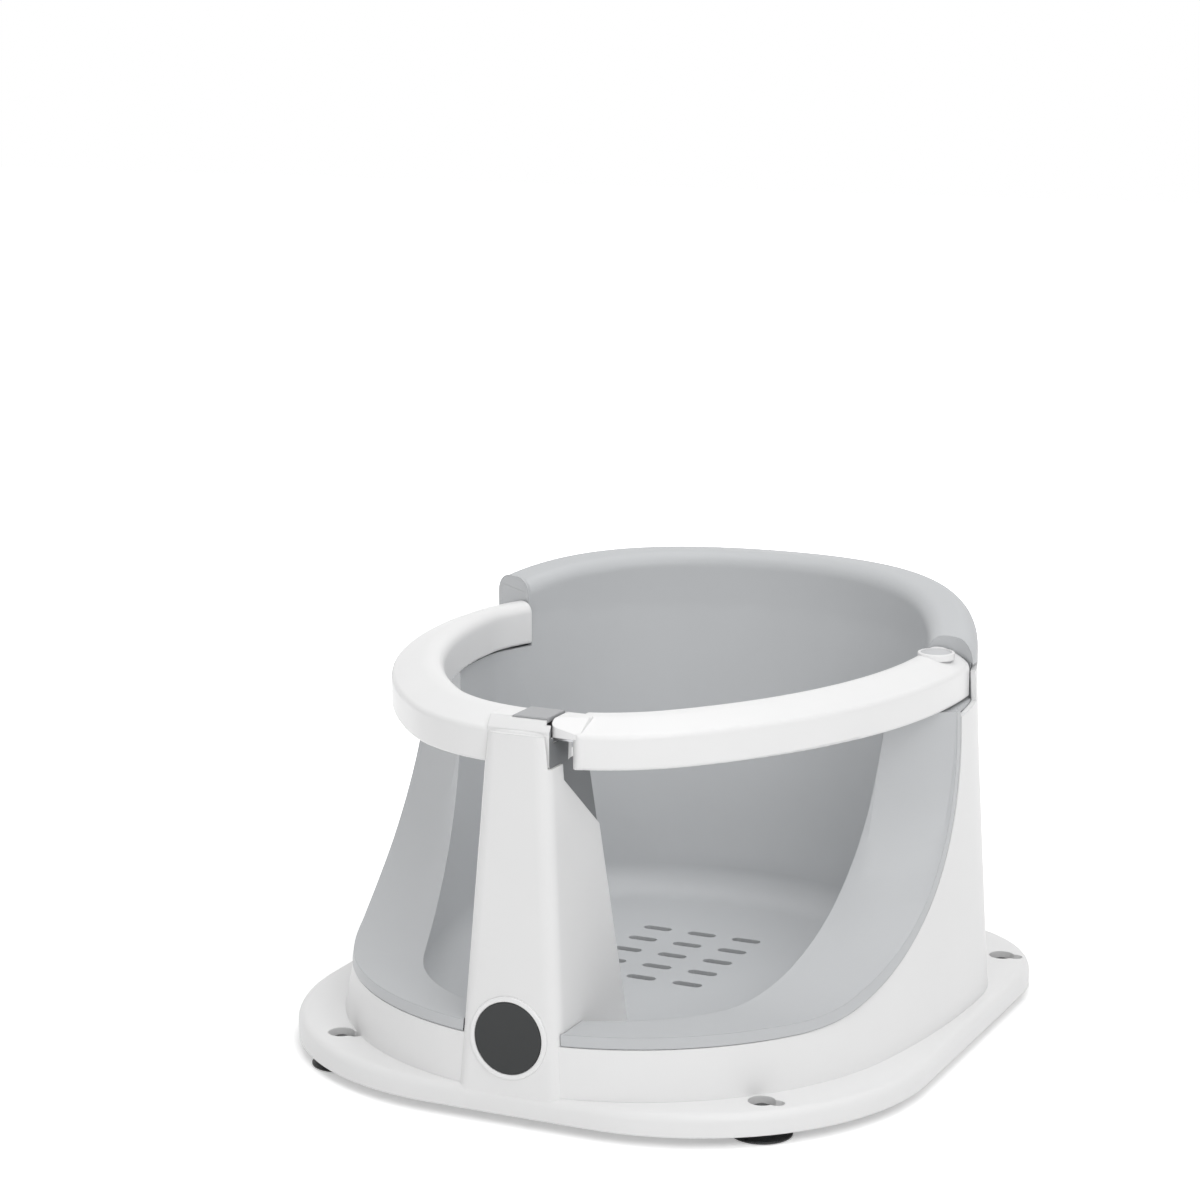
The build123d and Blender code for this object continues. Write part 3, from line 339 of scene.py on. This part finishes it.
def select_faces(piece, test):
    """Selects the faces of the piece in edit mode that pass a test on their centre and normal."""
    mesh = bmesh.from_edit_mesh(piece.data)
    for face in mesh.faces:
        face.select_set(False)
    for face in mesh.faces:
        if test(face.calc_center_median(), face.normal):
            face.select_set(True)
    bmesh.update_edit_mesh(piece.data)


def close_up():
    """Merges the doubles of the piece in edit mode, and turns its faces outwards."""
    bpy.ops.mesh.select_all(action="SELECT")
    bpy.ops.mesh.remove_doubles(threshold=DOUBLES)
    bpy.ops.mesh.normals_make_consistent(inside=False)


def widen(radius, height, was, centre):
    """Extrudes the selected round face from its (radius, height) to a new one, and returns that."""
    bpy.ops.mesh.extrude_region_move(TRANSFORM_OT_translate={"value": (0, 0, height - was[1])})
    share = radius / was[0]
    bpy.ops.transform.resize(value=(share, share, 1), center_override=(*centre, height))
    return radius, height


class BATHSEAT_OT_cups(bpy.types.Operator):
    """Models the four suction cups: a thin lip, a bell, a neck and a knob"""

    bl_idname = "bathseat.cups"
    bl_label = "Suction cups"

    # Steps up to the knob and into the bell, as (which radius, share of it, share of the height)
    OUTSIDE = (("radius", 0.8, 0.15), ("radius", 0.62, 0.25), ("neck", 1.9, 0.34), ("neck", 1.25, 0.42),
               ("neck", 1, 0.5), ("neck", 1, 0.69), ("knob", 0.92, 0.7), ("knob", 1, 0.78),
               ("knob", 1, 0.85), ("knob", 0.85, 0.94), ("knob", 0.5, 1))
    INSIDE = (("radius", 0.93, 0), ("radius", 0.6, 0.09), ("radius", 0.3, 0.17), ("radius", 0.05, 0.2))

    def execute(self, context):
        _, cups, _ = seat(context)
        vinyl = cup_vinyl(context)
        names = [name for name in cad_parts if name.startswith("suction_cup")]
        for name in names:
            low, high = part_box(name)
            centre = ((low[0] + high[0]) / 2, (low[1] + high[1]) / 2)
            piece = self.bell(name.replace("suction_cup", "vinyl_cup"), centre, low[2], high[2], cups)
            piece.data.materials.append(vinyl)
            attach(piece, "seat")
            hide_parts(name)
        return {"FINISHED"}

    def bell(self, name, centre, low, high, cups):
        """One cup about a centre, between two heights."""
        bpy.ops.object.select_all(action="DESELECT")
        bpy.ops.mesh.primitive_cylinder_add(vertices=CUP_SIDES, radius=cups.radius, depth=cups.lip,
                                            location=(*centre, low + cups.lip / 2))
        piece = bpy.context.active_object
        piece.name = name
        bpy.ops.object.transform_apply(location=True, rotation=True, scale=True)
        bpy.ops.object.mode_set(mode="EDIT")
        select_faces(piece, lambda place, normal: normal.z > FACING)
        self.draw_out(self.OUTSIDE, low + cups.lip, centre, low, high, cups)
        select_faces(piece, lambda place, normal: normal.z < -FACING)
        self.draw_out(self.INSIDE, low, centre, low, high, cups)
        close_up()
        bpy.ops.object.mode_set(mode="OBJECT")
        bpy.ops.object.shade_smooth_by_angle(angle=CUP_SMOOTH)
        return piece

    def draw_out(self, steps, start, centre, low, high, cups):
        """Draws the selected face of the lip out, step by step."""
        was = (cups.radius, start)
        for part, share, rise in steps:
            was = widen(getattr(cups, part) * share, low + rise * (high - low), was, centre)


def merged_copy(node_name, name):
    """A copy of a CAD node with its loose triangles joined, which is then cut and stands for the node."""
    piece = bpy.data.objects.new(name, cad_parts[node_name].data.copy())
    bpy.context.collection.objects.link(piece)
    only(piece)
    bpy.ops.object.mode_set(mode="EDIT")
    bpy.ops.mesh.select_all(action="SELECT")
    bpy.ops.mesh.remove_doubles(threshold=DOUBLES)
    bpy.ops.object.mode_set(mode="OBJECT")
    bpy.ops.mesh.customdata_custom_splitnormals_clear()
    return piece


def cut(piece, cutter):
    """Takes the cutter's shape out of the piece."""
    only(piece)
    bpy.ops.object.modifier_add(type="BOOLEAN")
    difference = piece.modifiers[-1]
    difference.object = cutter
    difference.operation = "DIFFERENCE"
    difference.solver = "EXACT"
    bpy.ops.object.modifier_apply(modifier=difference.name)


def ring_run(name, outline, start, turns):
    """A section run back along the left of the ring.

    The outline's points are (inward, up, corner radius) from the ring's outer foot, and each turn is
    an arc of the ring with how far to go round it.
    """
    bpy.ops.object.select_all(action="DESELECT")
    bpy.ops.mesh.primitive_circle_add(vertices=len(outline), fill_type="NGON", location=(0, 0, 0))
    piece = bpy.context.active_object
    piece.name = name
    (x, y), radius = turns[0][0]
    for vertex, (inward, up, _) in zip(piece.data.vertices, outline):
        reach = radius - inward * MM
        vertex.co = (x - reach * math.cos(start), y + reach * math.sin(start), RING_FOOT_Z + up * MM)
    corners = [(vertex.co.copy(), corner) for vertex, (_, _, corner) in zip(piece.data.vertices, outline)]
    bpy.ops.object.mode_set(mode="EDIT")
    bpy.ops.mesh.select_mode(type="VERT")
    for place, corner in corners:
        round_corner(piece, place, corner * MM)
    bpy.ops.mesh.select_mode(type="FACE")
    bpy.ops.mesh.select_all(action="SELECT")
    for ((x, y), _), turn in turns:
        steps = max(2, round(math.degrees(turn) / ARC_STEP))
        bpy.ops.mesh.spin(steps=steps, angle=turn, center=(x, y, 0), axis=(0, 0, 1))
    close_up()
    bpy.ops.object.mode_set(mode="OBJECT")
    return piece


def round_corner(piece, place, radius):
    """Rounds the section's corner at a place with an arc of this radius."""
    mesh = bmesh.from_edit_mesh(piece.data)
    corner = min(mesh.verts, key=lambda vertex: (vertex.co - place).length)
    arms = [(edge.other_vert(corner).co - corner.co) for edge in corner.link_edges]
    reach = radius / math.tan(arms[0].angle(arms[1]) / 2)
    for vertex in mesh.verts:
        vertex.select_set(vertex is corner)
    bmesh.update_edit_mesh(piece.data)
    if radius:
        bpy.ops.mesh.bevel(affect="VERTICES", offset=reach, segments=CORNER_STEPS, profile=0.5)


def settle(piece, body, replaced, material):
    """Smooths a piece, gives it its material and fixes it to its body in place of a CAD node."""
    only(piece)
    bpy.ops.object.shade_smooth_by_angle(angle=SMOOTH)
    piece.data.materials.clear()
    piece.data.materials.append(material)
    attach(piece, body)
    if replaced:
        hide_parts(replaced)


class BATHSEAT_OT_left_side(bpy.types.Operator):
    """Runs the fixed arm on round the rear corner, and clears the liner and the tub behind it"""

    bl_idname = "bathseat.left_side"
    bl_label = "Fixed arm, liner and tub"

    # Sections, as (inward, up, corner radius) in millimetres from the ring's outer foot
    ARM = ((0, 0, 2), (0, 16.5, 3.5), (17, 23, 14), (27, 23, 6.5), (27, 0, 2))
    ROOM = ((-14, -1.4, 0), (-14, 60, 0), (28.4, 60, 0), (28.4, -1.4, 0))
    WALL = ((-2.7, -1, 0), (-2.7, 35.6, 9), (22.7, 35.6, 9), (22.7, -1, 0))

    def execute(self, context):
        room = ring_run("room", self.ROOM, CORNER_START,
                        [(CORNER, CORNER_TURN), (REAR, REAR_TURN + REAR_GAP)])
        liner = merged_copy("seat_liner", "liner")
        shell = merged_copy("base_shell", "shell")
        cut(liner, room)
        cut(shell, room)
        bpy.data.objects.remove(room)
        wall = ring_run("rim_end", self.WALL, REAR_START + REAR_TURN + REAR_GAP, [(REAR, WALL_TURN)])
        arm = self.arm()
        settle(liner, "seat", "seat_liner", liner_plastic(context))
        settle(wall, "seat", None, liner_plastic(context))
        settle(shell, "seat", "base_shell", white_shell(context))
        settle(arm, "seat", "left_arm_upper", ring_plastic(context))
        # The post's recess and the fixed arm's end get painted shade: a flat dark grey for the shadow in
        # them
        colour_faces(shell, painted_shade_plastic(context), in_shaded_pocket)
        colour_faces(arm, painted_shade_plastic(context), at_shaded_arm_end)
        return {"FINISHED"}

    def arm(self):
        """The CAD arm as far as the joint, and the run behind it."""
        (x, y), radius = SIDE
        run = ring_run("run", self.ARM, ARM_JOINT,
                       [(SIDE, CORNER_START - ARM_JOINT), (CORNER, CORNER_TURN), (REAR, REAR_TURN)])
        along = Vector((math.sin(ARM_JOINT), math.cos(ARM_JOINT), 0))
        joint = Vector((x - radius * math.cos(ARM_JOINT), y + radius * math.sin(ARM_JOINT), RING_FOOT_Z))
        bpy.ops.object.mode_set(mode="EDIT")
        select_faces(run, lambda place, normal: abs((place - joint).dot(along)) < ON_JOINT)
        bpy.ops.mesh.delete(type="FACE")
        bpy.ops.object.mode_set(mode="OBJECT")
        arm = merged_copy("left_arm_upper", "left_arm")
        bpy.ops.object.mode_set(mode="EDIT")
        bpy.ops.mesh.select_all(action="SELECT")
        bpy.ops.mesh.bisect(plane_co=joint, plane_no=along, clear_outer=True)
        bpy.ops.object.mode_set(mode="OBJECT")
        run.select_set(True)
        bpy.ops.object.join()
        return arm


class BATHSEAT_OT_gate(bpy.types.Operator):
    """Gives the finger on the gate's free end a sloping shoulder that runs out into the gate's top"""

    bl_idname = "bathseat.gate"
    bl_label = "Gate"

    # What lies above the gate's top face, as (inward, up, corner radius) in millimetres
    ABOVE = ((-6, 14.21, 0), (-6, 60, 0), (17, 60, 0), (17, 23, 0))

    def execute(self, context):
        shoulder = ring_run("shoulder", self.ABOVE, SHOULDER_START, [(FRONT, SHOULDER_TURN)])
        foot, crest, tip = [Vector(place) * MM for place in SHOULDER]
        slope = (crest - foot).cross(tip - foot).normalized()
        bpy.ops.object.mode_set(mode="EDIT")
        bpy.ops.mesh.select_all(action="SELECT")
        bpy.ops.mesh.bisect(plane_co=foot, plane_no=slope, use_fill=True, clear_inner=True)
        bpy.ops.object.mode_set(mode="OBJECT")
        gate = merged_copy("gate_arm_upper", "gate_arm")
        cut(gate, shoulder)
        bpy.data.objects.remove(shoulder)
        settle(gate, "gate", "gate_arm_upper", ring_plastic(context))
        return {"FINISHED"}


class BATHSEAT_OT_stage(bpy.types.Operator):
    """Adds the floor, the soft studio light and the camera"""

    bl_idname = "bathseat.stage"
    bl_label = "Stage"

    WHITE = (*linear("FFFFFF"), 1)

    # The floor's width, and how far it lies below the part, in metres
    FLOOR_WIDTH = 12
    FLOOR_DROP = 0.5 * MM

    # Lamps, as name, place, width in metres and power in watts, and the point that they shine on
    LAMPS = (("Key", (1.2, -1.2, 1.5), 1.2, 12), ("Top", (0.1, 0.2, 2.2), 2.0, 20),
             ("Front", (-0.3, -1.9, 0.7), 1.2, 2.5))
    LAMP_AIM = (0, 0, 0.1)

    # The photograph's viewpoint and what it looks at in metres, and its lens in millimetres
    VIEWPOINT = (0.6171, -1.4011, 0.5320)
    VIEW_AIM = (-0.0385, 0.0070, 0.2165)
    LENS = 91.3
    SENSOR = 36

    # The room's light on the object, where the room that is seen has 1
    ROOM_LIGHT = 0.42

    # How far the floor is lifted for the eye near the object, and where that starts and stops growing to 1
    FLOOR_LIFT = 0.35
    NEAR = 0.25
    WHITE_FROM = 0.8

    def execute(self, context):
        colours, _, _ = seat(context)
        bpy.ops.object.select_all(action="DESELECT")
        bpy.ops.mesh.primitive_plane_add(size=self.FLOOR_WIDTH, location=(0, 0, -self.FLOOR_DROP))
        floor = context.active_object
        floor.name = "floor"
        floor.data.materials.append(self.floor_material(colours.floor))
        self.world(context)
        for lamp in self.LAMPS:
            self.area(*lamp)
        camera = bpy.data.objects.new("Camera", bpy.data.cameras.new("Camera"))
        context.collection.objects.link(camera)
        camera.location = self.VIEWPOINT
        self.turn(camera, self.VIEW_AIM)
        camera.data.sensor_width = self.SENSOR
        camera.data.lens = self.LENS
        context.scene.camera = camera
        context.scene.view_settings.view_transform = "Standard"
        return {"FINISHED"}

    def seen(self, tree):
        """1 for what the camera sees directly, in gloss or through glass, and 0 for all other light."""
        path = node(tree, "ShaderNodeLightPath")
        gloss = node(tree, "ShaderNodeMath",
                     [(0, path.outputs["Is Camera Ray"]), (1, path.outputs["Is Glossy Ray"])],
                     operation="MAXIMUM")
        glass = node(tree, "ShaderNodeMath",
                     [(0, gloss.outputs[0]), (1, path.outputs["Is Transmission Ray"])],
                     operation="MAXIMUM")
        return glass.outputs[0]

    def world(self, context):
        """A white room for the eye, and a dimmer even light for the object."""
        world = bpy.data.worlds.new("Studio")
        context.scene.world = world
        world.use_nodes = True
        tree = world.node_tree
        strength = node(tree, "ShaderNodeMapRange", [("Value", self.seen(tree))],
                        To_Min=self.ROOM_LIGHT, To_Max=1.0)
        background = tree.nodes["Background"]
        background.inputs["Color"].default_value = self.WHITE
        tree.links.new(strength.outputs["Result"], background.inputs["Strength"])

    def floor_material(self, colour):
        """A matt white paper sweep, lifted to plain white for the eye; it keeps the object's shadow."""
        material, tree, shader = new_material("Paper sweep, matt white")
        shader.inputs["Base Color"].default_value = (*colour, 1)
        shader.inputs["Roughness"].default_value = 0.9
        shader.inputs["Specular IOR Level"].default_value = 0.0
        place = node(tree, "ShaderNodeTexCoord").outputs["Object"]
        away = node(tree, "ShaderNodeVectorMath", [(0, place)], operation="LENGTH")
        fade = node(tree, "ShaderNodeMapRange", [("Value", away.outputs["Value"])],
                    From_Min=self.NEAR, From_Max=self.WHITE_FROM, To_Min=self.FLOOR_LIFT, To_Max=1.0)
        lift = node(tree, "ShaderNodeMath", [(0, self.seen(tree)), (1, fade.outputs["Result"])],
                    operation="MULTIPLY")
        shader.inputs["Emission Color"].default_value = self.WHITE
        tree.links.new(lift.outputs[0], shader.inputs["Emission Strength"])
        return material

    def area(self, name, place, width, power):
        """A square lamp at a place, turned to the object."""
        lamp = bpy.data.objects.new(name, bpy.data.lights.new(name, "AREA"))
        bpy.context.collection.objects.link(lamp)
        lamp.data.size = width
        lamp.data.energy = power
        lamp.location = place
        self.turn(lamp, self.LAMP_AIM)

    def turn(self, thing, aim):
        """Turns a lamp or a camera to the point that it looks at."""
        thing.rotation_euler = (Vector(aim) - thing.location).to_track_quat("-Z", "Y").to_euler()


class BATHSEAT_PT_panel(bpy.types.Panel):
    """Lists the settings and the pieces of the bath seat"""

    bl_idname = "BATHSEAT_PT_panel"
    bl_label = "Bath Seat"
    bl_space_type = "VIEW_3D"
    bl_region_type = "UI"
    bl_category = "Bath Seat"

    def draw(self, context):
        for settings in seat(context):
            box = self.layout.box()
            for name in settings.__annotations__:
                box.prop(settings, name)
        for operator in OPERATORS:
            self.layout.operator(operator.bl_idname)


GROUPS = (BATHSEAT_PG_colours, BATHSEAT_PG_cups, BATHSEAT_PG_finish)
OPERATORS = (BATHSEAT_OT_carried, BATHSEAT_OT_left_side, BATHSEAT_OT_gate, BATHSEAT_OT_cups,
             BATHSEAT_OT_stage)
CLASSES = (*GROUPS, *OPERATORS, BATHSEAT_PT_panel)


def register():
    for cls in CLASSES:
        bpy.utils.register_class(cls)
    bpy.types.Scene.bath_seat_colours = bpy.props.PointerProperty(type=BATHSEAT_PG_colours)
    bpy.types.Scene.bath_seat_cups = bpy.props.PointerProperty(type=BATHSEAT_PG_cups)
    bpy.types.Scene.bath_seat_finish = bpy.props.PointerProperty(type=BATHSEAT_PG_finish)


def unregister():
    del bpy.types.Scene.bath_seat_finish
    del bpy.types.Scene.bath_seat_cups
    del bpy.types.Scene.bath_seat_colours
    for cls in reversed(CLASSES):
        bpy.utils.unregister_class(cls)


def main():
    """Makes the seat and its stage."""
    register()
    for operator in OPERATORS:
        group, action = operator.bl_idname.split(".")
        getattr(getattr(bpy.ops, group), action)()


if __name__ == "__main__":
    main()
